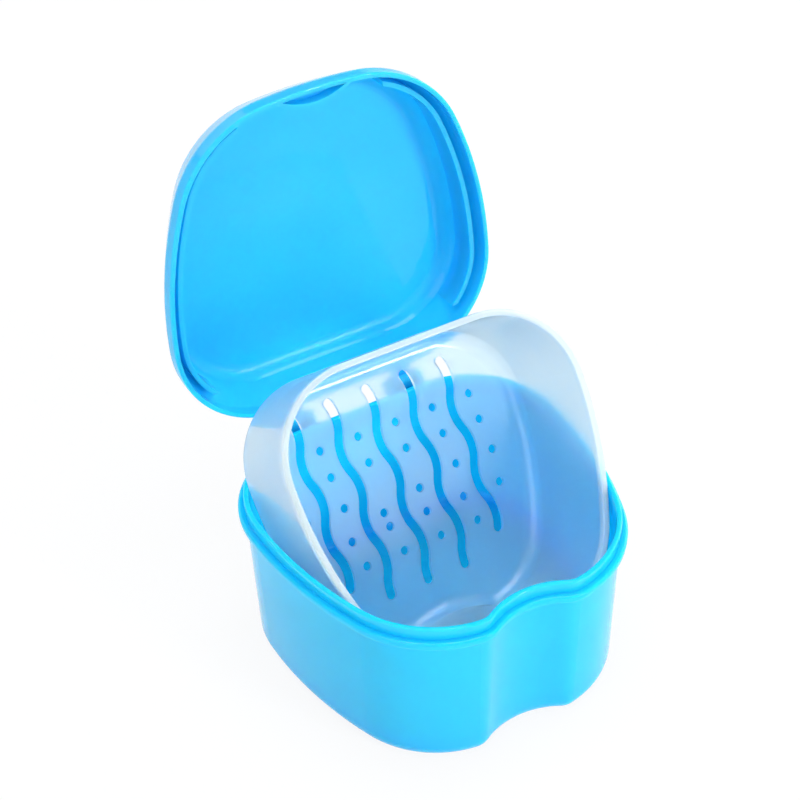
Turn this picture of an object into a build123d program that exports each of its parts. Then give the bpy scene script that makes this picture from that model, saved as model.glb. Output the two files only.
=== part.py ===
"""Denture case: blue hinged box with a frosted strainer basket standing propped in it.

Frame: millimetres, +Z up, front (thumb notch) towards -Y, hinge at +Y.
The origin is the centre of the flat bottom.  The lid is drawn shut and then swung open.
"""

from build123d import *
from math import atan, cos, floor, pi, radians, sin, sqrt, tan
import os

os.makedirs("parts", exist_ok=True)

# Plan shape shared by case, lid and basket
case_width = 90.0
case_depth = 86.0
widest_y = 15.0
side_radius = 107.0
front_radius = 133.0
rear_corner_radius = 26.8
front_corner_radius = 30.0
notch_half_width = 11.5
notch_depth = 4.1
notch_shoulder_radius = 8.0
shortest_edge = 0.01

# Case
flange_top = 43.6
flange_height = 2.2
flange_edge_radius = 0.7
lip_height = 3.3
lip_edge_radius = 0.4
wall_inset = 1.5
wall_lean = 1.6
wall_thickness = 1.3
floor_height = 6.3
floor_thickness = 1.8
base_ring_width = 2.0
base_rib_thickness = 2.0
base_edge_radius = 4.5

# Lid
lid_gap = 0.3
lid_height = 14.5
lid_wall = 1.2
skirt_height = 3.7
skirt_edge_radius = 0.4
crown_slope = 25.0
crown_radius = 6.0
crease_radius = 3.0
rib_gap = 0.3
rib_thickness = 1.2
rib_recess = 2.5
rib_front_start_x = 19.6
rib_rear_end_y = 32.0
thumb_rib_thickness = 0.8
thumb_pocket_depth = 3.0
thumb_web_thickness = 1.2
lid_open_angle = 96.0

# Hinge
hinge_offset = 4.6
hinge_spacing = 32.0
barrel_radius = 2.4
knuckle_width = 5.0
arm_height = 2.0
ear_thickness = 2.3
ear_gap = 0.3
ear_drop = 9.0
pin_radius = 1.0
pin_clearance = 0.05
pin_end_chamfer = 0.2

# Basket
rim_clearance = 1.6
rim_height = 2.2
rim_overhang = 0.5
rim_edge_radius = 0.4
basket_depth = 37.4
basket_lean = 0.9
basket_wall = 1.1
basket_floor = 1.2
basket_edge_radius = 4.0
basket_inside_edge_radius = 4.0
basket_shoulder_radius = 12.5
basket_tilt = 50.9
lean_inset = 7.8
prop_gap = 0.3

# Drain slots and holes in the basket floor
slot_count = 5
slot_pitch = 10.9
slot_width = 2.7
slot_shift = -0.8
slot_rear_end = 29.9
inner_slot_front_end = -23.7
outer_slot_front_end = -18.3
wave_start = 1.2
wave_half_length = 9.3
wave_height = 0.94
hole_diameter = 2.3
outer_hole_rows = (18.1, 10.9, 2.4, -6.2)
near_hole_rows = (18.1, 10.9, 2.4, -6.2, -13.3)
left_middle_hole_rows = (18.1, 10.9, -2.4, -6.2, -13.3)
right_middle_hole_rows = (18.1, 10.9, 0.1, -6.2, -13.3)

# Values that follow from the ones above
rear_y = case_depth / 2
front_y = -case_depth / 2
side_center_x = case_width / 2 - side_radius
notch_radius = (notch_half_width**2 + notch_depth**2) / (2 * notch_depth)
notch_center_y = front_y + notch_depth - notch_radius
lip_top = flange_top + lip_height
lip_inner_inset = wall_inset + wall_thickness
cavity_edge_radius = base_edge_radius - wall_thickness
base_recess_inset = wall_inset + wall_lean + base_edge_radius + base_ring_width
lid_bottom = flange_top + lid_gap
rib_outer_inset = lip_inner_inset + rib_gap
rib_inner_inset = rib_outer_inset + rib_thickness
rib_bottom = lid_bottom + rib_recess
hinge_y = rear_y + hinge_offset
hinge_axis = Axis((0, hinge_y, flange_top), (1, 0, 0))
hinge_places = {"left": -hinge_spacing / 2, "right": hinge_spacing / 2}
bore_radius = pin_radius + pin_clearance
ear_inner_x = knuckle_width / 2 + ear_gap
ear_outer_x = ear_inner_x + ear_thickness
ear_root_y = rear_y - lip_inner_inset + wall_thickness / 2
ear_root_height = ear_drop / 2
rim_inset = lip_inner_inset + rim_clearance
basket_top_inset = rim_inset + rim_overhang
basket_foot_inset = basket_top_inset + basket_lean
wave_radius = (wave_half_length**2 / 4 + wave_height**2) / (2 * wave_height)
hole_columns = (
    outer_hole_rows,
    near_hole_rows,
    left_middle_hole_rows,
    right_middle_hole_rows,
    near_hole_rows,
    outer_hole_rows,
)


def outline(inset, notched=True, shoulder_radius=notch_shoulder_radius):
    """Plan outline moved inwards by inset, with or without the thumb notch in its front."""
    with BuildSketch() as plan:
        with Locations((side_center_x, widest_y)):
            Circle(side_radius - shoulder_radius)
        with Locations((-side_center_x, widest_y)):
            Circle(side_radius - shoulder_radius, mode=Mode.INTERSECT)
        with Locations((0, front_y + front_radius)):
            Circle(front_radius - shoulder_radius, mode=Mode.INTERSECT)
        with Locations((0, rear_y - shoulder_radius)):
            Rectangle(2 * case_width, 2 * case_depth, align=(Align.CENTER, Align.MAX), mode=Mode.INTERSECT)
        rear_corners = plan.vertices().group_by(Axis.Y)[-1]
        fillet(rear_corners, rear_corner_radius - shoulder_radius)
        front_corners = plan.vertices().group_by(Axis.Y)[0]
        fillet(front_corners, front_corner_radius - shoulder_radius)
        if notched:
            with Locations((0, notch_center_y)):
                Circle(notch_radius + shoulder_radius, mode=Mode.SUBTRACT)
        offset(amount=shoulder_radius - inset, kind=Kind.ARC)
    with BuildSketch() as redrawn:
        with BuildLine():
            for edge in plan.edges().filter_by(lambda edge: edge.length > shortest_edge):
                if edge.geom_type == GeomType.LINE:
                    Line(edge @ 0, edge @ 1)
                else:
                    ThreePointArc(edge @ 0, edge @ 0.5, edge @ 1)
        make_face()
    return redrawn.sketch


def tub(plane, depth, top_outline, bottom_outline, edge_radius):
    """Drafted block hanging below a plane, with its bottom edges rounded."""
    with BuildPart() as block:
        with BuildSketch(plane.offset(-depth)):
            add(bottom_outline)
        with BuildSketch(plane):
            add(top_outline)
        loft(ruled=True)
        bottom = block.faces().sort_by(Axis(plane.origin, plane.z_dir))[0]
        fillet(bottom.edges(), edge_radius)
    return block.part


def dome(inset):
    """Straight skirt with a sloping, rounded crown on it, standing on the rim of the lid."""
    rise = lid_height - skirt_height - inset
    with BuildPart() as block:
        with BuildSketch(Plane.XY.offset(lid_bottom)):
            add(outline(inset, notched=False))
        extrude(amount=skirt_height)
        with BuildSketch(Plane.XY.offset(lid_bottom + skirt_height)):
            add(outline(inset, notched=False))
        extrude(amount=rise, taper=crown_slope)
        crown = block.faces().sort_by(Axis.Z)[-1]
        fillet(crown.edges(), crown_radius - inset)
        crease_z = lid_bottom + skirt_height
        crease = block.edges().filter_by_position(Axis.Z, crease_z - prop_gap, crease_z + prop_gap)
        fillet(crease, crease_radius - inset)
    return block.part


def wave(station):
    """Sideways offset of the wavy slots at a distance along the basket floor."""
    half_wave = floor((station - wave_start) / wave_half_length)
    side = 1 if half_wave % 2 == 0 else -1
    along = station - wave_start - (half_wave + 0.5) * wave_half_length
    return side * (sqrt(wave_radius**2 - along**2) - wave_radius + wave_height)


def slot(front_end, rear_end):
    """One wavy slot with rounded ends, drawn along Y."""
    start = front_end + slot_width / 2
    finish = rear_end - slot_width / 2
    first = floor((start - wave_start) / wave_half_length) + 1
    last = floor((finish - wave_start) / wave_half_length) + 1
    crossings = [wave_start + n * wave_half_length for n in range(first, last)]
    stations = [start] + crossings + [finish]
    with BuildSketch() as opening:
        with BuildLine() as path:
            for begin, end in zip(stations, stations[1:]):
                middle = (begin + end) / 2
                ThreePointArc((wave(begin), begin), (wave(middle), middle), (wave(end), end))
        trace(line_width=slot_width)
        with Locations((wave(start), start), (wave(finish), finish)):
            Circle(slot_width / 2)
    return opening.sketch


# Case: tub with flange, lip and two pairs of hinge ears
case_outside = tub(
    Plane.XY.offset(lip_top),
    lip_top,
    outline(wall_inset),
    outline(wall_inset + wall_lean),
    base_edge_radius,
)
case_inside = tub(
    Plane.XY.offset(lip_top),
    lip_top - floor_height,
    outline(lip_inner_inset),
    outline(lip_inner_inset + wall_lean),
    cavity_edge_radius,
)

with BuildPart() as flange:
    with BuildSketch(Plane.XY.offset(flange_top - flange_height)):
        add(outline(0))
        add(outline(wall_inset + wall_thickness / 2), mode=Mode.SUBTRACT)
    extrude(amount=flange_height)
    for flat in flange.faces().filter_by(Axis.Z):
        fillet(flat.outer_wire().edges(), flange_edge_radius)

with BuildPart() as case:
    add(case_outside)
    add(flange.part)
    add(case_inside, mode=Mode.SUBTRACT)
    with BuildSketch():
        add(outline(base_recess_inset, True, basket_shoulder_radius))
        Rectangle(case_width, base_rib_thickness, mode=Mode.SUBTRACT)
        Rectangle(base_rib_thickness, case_depth, mode=Mode.SUBTRACT)
    extrude(amount=floor_height - floor_thickness, mode=Mode.SUBTRACT)
    lip_face = case.faces().sort_by(Axis.Z)[-1]
    fillet(lip_face.edges(), lip_edge_radius)
    for hinge_x in hinge_places.values():
        for side in (-1, 1):
            with BuildSketch(Plane.YZ.offset(hinge_x + side * ear_inner_x)):
                with Locations((hinge_y, flange_top)):
                    Circle(barrel_radius)
                with Locations((ear_root_y, flange_top - ear_drop)):
                    Rectangle(wall_thickness / 3, ear_root_height, align=(Align.CENTER, Align.MIN))
                make_hull()
            extrude(amount=side * ear_thickness)
        with Locations((hinge_x, hinge_y, flange_top)):
            Cylinder(bore_radius, 3 * ear_outer_x, rotation=(0, 90, 0), mode=Mode.SUBTRACT)
case.part.label = "case"
export_step(case.part, "parts/case.step")

# Lid: domed shell with two hinge arms, a locating rib and a thumb pocket, drawn shut
lid_core = dome(lid_wall / 2)
lid_outside = dome(0)
lid_inside = dome(lid_wall)

with BuildPart() as locating_rib:
    with BuildSketch(Plane.XY.offset(rib_bottom)):
        add(outline(rib_outer_inset, notched=False))
        add(outline(rib_inner_inset, notched=False), mode=Mode.SUBTRACT)
        with Locations((0, front_y)):
            Rectangle(2 * rib_front_start_x, case_depth, mode=Mode.SUBTRACT)
        with Locations((0, rib_rear_end_y)):
            Rectangle(case_width, case_depth, align=(Align.CENTER, Align.MIN), mode=Mode.SUBTRACT)
    extrude(amount=lid_height)
    add(lid_core, mode=Mode.INTERSECT)

with BuildPart() as thumb_pocket:
    with BuildSketch(Plane.XY.offset(lid_bottom)):
        with Locations((0, notch_center_y)):
            Circle(notch_radius + thumb_rib_thickness / 2)
            Circle(notch_radius - thumb_rib_thickness / 2, mode=Mode.SUBTRACT)
    extrude(amount=thumb_pocket_depth)
    with BuildSketch(Plane.XY.offset(lid_bottom + thumb_pocket_depth)):
        with Locations((0, notch_center_y)):
            Circle(notch_radius + thumb_rib_thickness / 2)
    extrude(amount=thumb_web_thickness)
    add(lid_core, mode=Mode.INTERSECT)

with BuildPart() as shut_lid:
    add(lid_outside)
    fillet(shut_lid.faces().sort_by(Axis.Z)[0].edges(), skirt_edge_radius)
    add(lid_inside, mode=Mode.SUBTRACT)
    add(locating_rib.part)
    add(thumb_pocket.part)
    for hinge_x in hinge_places.values():
        with BuildSketch(Plane.YZ.offset(hinge_x - knuckle_width / 2)):
            with Locations((hinge_y, flange_top)):
                Circle(barrel_radius)
            with Locations((hinge_y, lid_bottom)):
                Rectangle(hinge_offset + lid_wall / 2, arm_height, align=(Align.MAX, Align.MIN))
        extrude(amount=knuckle_width)
        with Locations((hinge_x, hinge_y, flange_top)):
            Cylinder(bore_radius, 3 * ear_outer_x, rotation=(0, 90, 0), mode=Mode.SUBTRACT)

with BuildPart() as lid:
    add(shut_lid.part.rotate(hinge_axis, -lid_open_angle))
lid.part.label = "lid"
export_step(lid.part, "parts/lid.step")

# Hinge pins
for place, hinge_x in hinge_places.items():
    with BuildPart() as hinge_pin:
        with Locations((hinge_x, hinge_y, flange_top)):
            Cylinder(pin_radius, 2 * ear_outer_x, rotation=(0, 90, 0))
        chamfer(hinge_pin.edges().filter_by(GeomType.CIRCLE), pin_end_chamfer)
    hinge_pin.part.label = f"hinge_pin_{place}"
    export_step(hinge_pin.part, f"parts/hinge_pin_{place}.step")

# Basket: stands on its front foot on the case floor and leans back on the rear lip
tilt = radians(basket_tilt)
foot_angle = pi / 2 + atan(basket_lean / basket_depth)
foot_y = outline(basket_foot_inset, True, basket_shoulder_radius).bounding_box().min.Y
foot_y = foot_y + basket_edge_radius / tan(foot_angle / 2)
foot_z = basket_edge_radius - basket_depth
lean_x = case_width / 2 - lean_inset
corner_y = rear_y - rear_corner_radius
corner_reach = side_radius - rear_corner_radius
corner_x = side_center_x + sqrt(corner_reach**2 - (corner_y - widest_y) ** 2)
lip_corner_radius = rear_corner_radius - lip_inner_inset
lip_edge_y = corner_y + sqrt(lip_corner_radius**2 - (lean_x - corner_x) ** 2) + lip_edge_radius
lip_edge_z = lip_top - lip_edge_radius
lean_distance = lip_edge_z * cos(tilt) - lip_edge_y * sin(tilt) + lip_edge_radius + prop_gap + basket_depth
basket_z = floor_height + prop_gap + basket_edge_radius - foot_y * sin(tilt) - foot_z * cos(tilt)
basket_y = (basket_z * cos(tilt) - lean_distance) / sin(tilt)
basket_plane = Plane((0, basket_y, basket_z), x_dir=(1, 0, 0), z_dir=(0, -sin(tilt), cos(tilt)))
basket_outside = tub(
    basket_plane,
    basket_depth,
    outline(basket_top_inset, True, basket_shoulder_radius),
    outline(basket_foot_inset, True, basket_shoulder_radius),
    basket_edge_radius,
)
basket_inside = tub(
    basket_plane,
    basket_depth - basket_floor,
    outline(basket_top_inset + basket_wall, True, basket_shoulder_radius),
    outline(basket_foot_inset + basket_wall, True, basket_shoulder_radius),
    basket_inside_edge_radius,
)

with BuildPart() as basket:
    add(basket_outside)
    with BuildSketch(basket_plane.offset(-rim_height)):
        add(outline(rim_inset, True, basket_shoulder_radius))
    extrude(amount=rim_height)
    add(basket_inside, mode=Mode.SUBTRACT)
    rim_face = basket.faces().sort_by(Axis(basket_plane.origin, basket_plane.z_dir))[-1]
    fillet(rim_face.edges(), rim_edge_radius)
    with BuildSketch(basket_plane.offset(-basket_depth)):
        for n in range(slot_count):
            outermost = n in (0, slot_count - 1)
            front_end = outer_slot_front_end if outermost else inner_slot_front_end
            with Locations(((n - (slot_count - 1) / 2) * slot_pitch + slot_shift, 0)):
                add(slot(front_end, slot_rear_end))
        for n, rows in enumerate(hole_columns):
            for row in rows:
                with Locations(((n - slot_count / 2) * slot_pitch + slot_shift + wave(row), row)):
                    Circle(hole_diameter / 2)
    extrude(amount=2 * basket_floor, mode=Mode.SUBTRACT)
basket.part.label = "basket"
export_step(basket.part, "parts/basket.step")
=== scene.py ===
"""Denture case: glossy blue shell and lid, frosted strainer basket, on a white studio floor."""

import math

import bpy
from mathutils import Matrix, Vector

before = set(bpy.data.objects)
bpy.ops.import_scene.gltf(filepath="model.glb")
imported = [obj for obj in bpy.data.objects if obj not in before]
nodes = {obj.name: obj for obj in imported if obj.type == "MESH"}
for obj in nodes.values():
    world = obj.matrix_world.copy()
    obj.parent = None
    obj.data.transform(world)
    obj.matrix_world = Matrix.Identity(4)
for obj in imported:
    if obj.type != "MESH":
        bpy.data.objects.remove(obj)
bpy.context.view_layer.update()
scene = bpy.context.scene

# Camera: azimuth, elevation and roll of the view, distance to the aimed point and the lens
VIEW_AZIMUTH = math.radians(-28.67)
VIEW_ELEVATION = math.radians(39.76)
VIEW_ROLL = math.radians(-1.90)
VIEW_DISTANCE = 0.478
VIEW_AIM = Vector((-0.01095, 0.0, 0.08309))
LENS_MM = 93.05
SENSOR_MM = 36.0
CLIP_NEAR = 0.01
CLIP_FAR = 50.0

# Lamps: name, place, side of the square soft box and power in watts; all face LAMP_AIM
LAMP_AIM = Vector((0.0, 0.0, 0.05))
LAMPS = (
    ("key", (0.54, -1.15, 0.42), 0.3, 9.5),
    ("top", (0.1, 0.0, 1.45), 0.9, 10.5),
    ("side", (1.2, 0.35, 0.5), 0.8, 5.5),
    ("fill", (-1.0, -0.5, 0.8), 0.8, 3.5),
    ("back", (-0.3, 1.1, 0.8), 0.8, 2.5),
)

# Surroundings: grey levels at heights from the horizon (0) to overhead (1), and the floor
WHITE = (1.0, 1.0, 1.0, 1.0)
OVERHEAD = (0.62, 0.64, 0.66, 1.0)
SKY_LEVELS = ((0.14, 1.0), (0.24, 0.3), (0.75, 0.3))
FLOOR_REACH = 6.0
FLOOR_PAINT = (0.9, 0.9, 0.9, 1.0)
FLOOR_GLOW_SHARE = 0.9

# Scuffs: how far they take the roughness of a glossy plastic down and up
SCUFF_SMOOTHER = 0.02
SCUFF_ROUGHER = 0.03

# Basket: lean of its axis from upright, height of its rim and the share in which the rim turns milky
BASKET_TILT = math.radians(50.9)
RIM_HEIGHT = 0.0022
RIM_FADE = 0.2

# Frosted plastic: light it transmits in the walls and in the rim, and lamp light that it keeps back
WALL_CLARITY = 0.86
RIM_CLARITY = 0.4
FROST_SHADE = 0.3


def make_camera():
    """The camera, to the left of the front and looking down into the open case."""
    back = Vector(
        (
            math.sin(VIEW_AZIMUTH) * math.cos(VIEW_ELEVATION),
            -math.cos(VIEW_AZIMUTH) * math.cos(VIEW_ELEVATION),
            math.sin(VIEW_ELEVATION),
        )
    )
    level = Vector((math.cos(VIEW_AZIMUTH), math.sin(VIEW_AZIMUTH), 0.0))
    upright = back.cross(level)
    right = math.cos(VIEW_ROLL) * level + math.sin(VIEW_ROLL) * upright
    up = -math.sin(VIEW_ROLL) * level + math.cos(VIEW_ROLL) * upright
    data = bpy.data.cameras.new("camera")
    data.lens = LENS_MM
    data.sensor_width = SENSOR_MM
    data.clip_start = CLIP_NEAR
    data.clip_end = CLIP_FAR
    camera = bpy.data.objects.new("camera", data)
    turn = Matrix((right, up, back)).transposed().to_4x4()
    camera.matrix_world = Matrix.Translation(VIEW_AIM + back * VIEW_DISTANCE) @ turn
    scene.collection.objects.link(camera)
    scene.camera = camera


def srgb(red, green, blue):
    """Linear colour from sRGB values of 0 to 255."""
    linear = []
    for value in (red, green, blue):
        value = value / 255.0
        linear.append(value / 12.92 if value <= 0.04045 else ((value + 0.055) / 1.055) ** 2.4)
    return (*linear, 1.0)


class Nodes:
    """Adds and links the shader nodes of one material or world."""

    def __init__(self, owner):
        owner.use_nodes = True
        self.tree = owner.node_tree
        self.tree.nodes.clear()

    def add(self, kind, **values):
        node = self.tree.nodes.new(kind)
        for name, value in values.items():
            setattr(node, name, value)
        return node

    def link(self, source, target):
        self.tree.links.new(source, target)

    def place(self, kind):
        """Coordinates of one kind, as the Texture Coordinate node names it."""
        return self.add("ShaderNodeTexCoord").outputs[kind]

    def noise(self, scale, detail):
        """Noise fixed to the piece, with its scale in waves per metre."""
        noise = self.add("ShaderNodeTexNoise")
        noise.inputs["Scale"].default_value = scale
        noise.inputs["Detail"].default_value = detail
        self.link(self.place("Object"), noise.inputs["Vector"])
        return noise.outputs["Fac"]

    def ramp(self, value, low, high, start=0.3, end=0.7):
        """Colour that goes from low to high while a value goes from start to end."""
        ramp = self.add("ShaderNodeValToRGB")
        ramp.color_ramp.elements[0].position = start
        ramp.color_ramp.elements[0].color = low
        ramp.color_ramp.elements[1].position = end
        ramp.color_ramp.elements[1].color = high
        self.link(value, ramp.inputs["Fac"])
        return ramp

    def spread(self, value, low, high, start=0.0, end=1.0):
        """Number that goes from low to high while a value goes from start to end."""
        spread = self.add("ShaderNodeMapRange")
        spread.inputs["From Min"].default_value = start
        spread.inputs["From Max"].default_value = end
        spread.inputs["To Min"].default_value = low
        spread.inputs["To Max"].default_value = high
        self.link(value, spread.inputs["Value"])
        return spread.outputs["Result"]

    def bump(self, height, strength, distance):
        """Fine relief in a surface, from a height value."""
        bump = self.add("ShaderNodeBump")
        bump.inputs["Strength"].default_value = strength
        bump.inputs["Distance"].default_value = distance
        self.link(height, bump.inputs["Height"])
        return bump.outputs["Normal"]

    def ray(self, *kinds):
        """One for rays of any of the kinds, as the Light Path node names them, else zero."""
        outputs = self.add("ShaderNodeLightPath").outputs
        found = outputs[kinds[0]]
        for kind in kinds[1:]:
            either = self.add("ShaderNodeMath", operation="MAXIMUM")
            self.link(found, either.inputs[0])
            self.link(outputs[kind], either.inputs[1])
            found = either.outputs[0]
        return found

    def mix(self, share, first, second):
        """First shader, with the second in its place by a share."""
        mix = self.add("ShaderNodeMixShader")
        self.link(share, mix.inputs["Fac"])
        self.link(first, mix.inputs[1])
        self.link(second, mix.inputs[2])
        return mix.outputs["Shader"]


def principled(name, ior, soak, depth):
    """Material with one principled shader that light soaks into, as far as depth times soak."""
    material = bpy.data.materials.new(name)
    n = Nodes(material)
    out = n.add("ShaderNodeOutputMaterial")
    shader = n.add("ShaderNodeBsdfPrincipled")
    shader.inputs["IOR"].default_value = ior
    shader.inputs["Subsurface Weight"].default_value = 1.0
    shader.inputs["Subsurface Radius"].default_value = soak
    shader.inputs["Subsurface Scale"].default_value = depth
    n.link(shader.outputs["BSDF"], out.inputs["Surface"])
    return material, n, shader.inputs


def plastic(name, low, high, roughness, depth):
    """Moulded glossy plastic: faint flow marks in its colour, fine scuffs and ripples."""
    material, n, inputs = principled(name, ior=1.34, soak=(0.1, 0.8, 1.0), depth=depth)
    flow = n.noise(scale=28.0, detail=2.0)
    n.link(n.ramp(flow, low, high).outputs["Color"], inputs["Base Color"])
    scuff = n.noise(scale=420.0, detail=4.0)
    gloss = n.spread(scuff, roughness - SCUFF_SMOOTHER, roughness + SCUFF_ROUGHER)
    n.link(gloss, inputs["Roughness"])
    ripple = n.noise(scale=160.0, detail=1.0)
    n.link(n.bump(ripple, strength=0.05, distance=0.0002), inputs["Normal"])
    return material


def frosted(name, node):
    """Frosted translucent plastic, milkier in the thick rim of the basket."""
    material, n, inputs = principled(name, ior=1.25, soak=(1.0, 1.0, 1.0), depth=0.004)
    cloud = n.noise(scale=60.0, detail=3.0)
    milk = n.ramp(cloud, srgb(216, 240, 255), srgb(226, 245, 255))
    n.link(milk.outputs["Color"], inputs["Base Color"])
    grain = n.noise(scale=900.0, detail=3.0)
    n.link(n.spread(grain, low=0.28, high=0.38), inputs["Roughness"])
    n.link(n.bump(grain, strength=0.08, distance=0.0001), inputs["Normal"])
    axis = Vector((0.0, -math.sin(BASKET_TILT), math.cos(BASKET_TILT)))
    rim_top = max(vertex.co @ axis for vertex in nodes[node].data.vertices)
    height = n.add("ShaderNodeVectorMath", operation="DOT_PRODUCT")
    height.inputs[1].default_value = axis
    n.link(n.place("Object"), height.inputs[0])
    milky_from = rim_top - RIM_HEIGHT
    milky_to = rim_top - (1.0 - RIM_FADE) * RIM_HEIGHT
    clarity = n.spread(height.outputs["Value"], WALL_CLARITY, RIM_CLARITY, milky_from, milky_to)
    n.link(clarity, inputs["Transmission Weight"])
    n.link(n.spread(n.ray("Is Shadow Ray"), low=1.0, high=FROST_SHADE), inputs["Alpha"])
    inputs["Coat Weight"].default_value = 0.6
    inputs["Coat Roughness"].default_value = 0.08
    return material


def dress(node, material):
    """Puts one material on a CAD node."""
    mesh = nodes[node].data
    mesh.materials.clear()
    mesh.materials.append(material)


def make_stage():
    """White floor that looks white to the camera and still takes a soft shadow."""
    mesh = bpy.data.meshes.new("floor")
    corners = [(-1, -1), (1, -1), (1, 1), (-1, 1)]
    mesh.from_pydata([(FLOOR_REACH * x, FLOOR_REACH * y, 0.0) for x, y in corners], [], [(0, 1, 2, 3)])
    floor = bpy.data.objects.new("floor", mesh)
    scene.collection.objects.link(floor)
    material = bpy.data.materials.new("floor_white")
    n = Nodes(material)
    out = n.add("ShaderNodeOutputMaterial")
    matte = n.add("ShaderNodeBsdfDiffuse")
    matte.inputs["Color"].default_value = FLOOR_PAINT
    glow = n.add("ShaderNodeEmission")
    glow.inputs["Color"].default_value = WHITE
    glow.inputs["Strength"].default_value = 1.0
    seen = n.ray("Is Camera Ray", "Is Glossy Ray", "Is Transmission Ray")
    share = n.spread(seen, low=0.0, high=FLOOR_GLOW_SHARE)
    n.link(n.mix(share, matte.outputs["BSDF"], glow.outputs["Emission"]), out.inputs["Surface"])
    mesh.materials.append(material)


def make_world():
    """Studio surroundings: bright at the horizon, dimmer overhead, white where the camera sees them."""
    world = bpy.data.worlds.new("studio")
    scene.world = world
    n = Nodes(world)
    out = n.add("ShaderNodeOutputWorld")
    height = n.add("ShaderNodeSeparateXYZ")
    n.link(n.place("Generated"), height.inputs["Vector"])
    sky = n.ramp(height.outputs["Z"], WHITE, OVERHEAD, start=0.0, end=1.0)
    for position, level in SKY_LEVELS:
        stop = sky.color_ramp.elements.new(position)
        stop.color = (level, level, level, 1.0)
    light = n.add("ShaderNodeBackground")
    light.inputs["Strength"].default_value = 1.0
    n.link(sky.outputs["Color"], light.inputs["Color"])
    white = n.add("ShaderNodeBackground")
    white.inputs["Color"].default_value = WHITE
    white.inputs["Strength"].default_value = 1.0
    seen = n.ray("Is Camera Ray", "Is Transmission Ray")
    mixed = n.mix(seen, light.outputs["Background"], white.outputs["Background"])
    n.link(mixed, out.inputs["Surface"])


def make_lamp(name, place, size, power):
    """Square soft box that faces the lamps' aimed point."""
    data = bpy.data.lights.new(name, "AREA")
    data.shape = "SQUARE"
    data.size = size
    data.energy = power
    lamp = bpy.data.objects.new(name, data)
    lamp.location = place
    lamp.rotation_euler = (LAMP_AIM - Vector(place)).to_track_quat("-Z", "Y").to_euler()
    scene.collection.objects.link(lamp)


def dress_pieces():
    """Gives every piece its plastic."""
    case_colours = (srgb(26, 184, 240), srgb(34, 190, 244))
    lid_colours = (srgb(42, 180, 240), srgb(50, 186, 244))
    pin_colours = (srgb(10, 170, 236), srgb(18, 178, 240))
    dress("case", plastic("blue_plastic", *case_colours, roughness=0.08, depth=0.007))
    dress("lid", plastic("lid_blue_plastic", *lid_colours, roughness=0.05, depth=0.0045))
    dress("basket", frosted("frosted_plastic", "basket"))
    pin_plastic = plastic("pin_plastic", *pin_colours, roughness=0.2, depth=0.001)
    for node in ("hinge_pin_left", "hinge_pin_right"):
        dress(node, pin_plastic)


scene.view_settings.view_transform = "Standard"
make_camera()
make_stage()
make_world()
for lamp in LAMPS:
    make_lamp(*lamp)
dress_pieces()
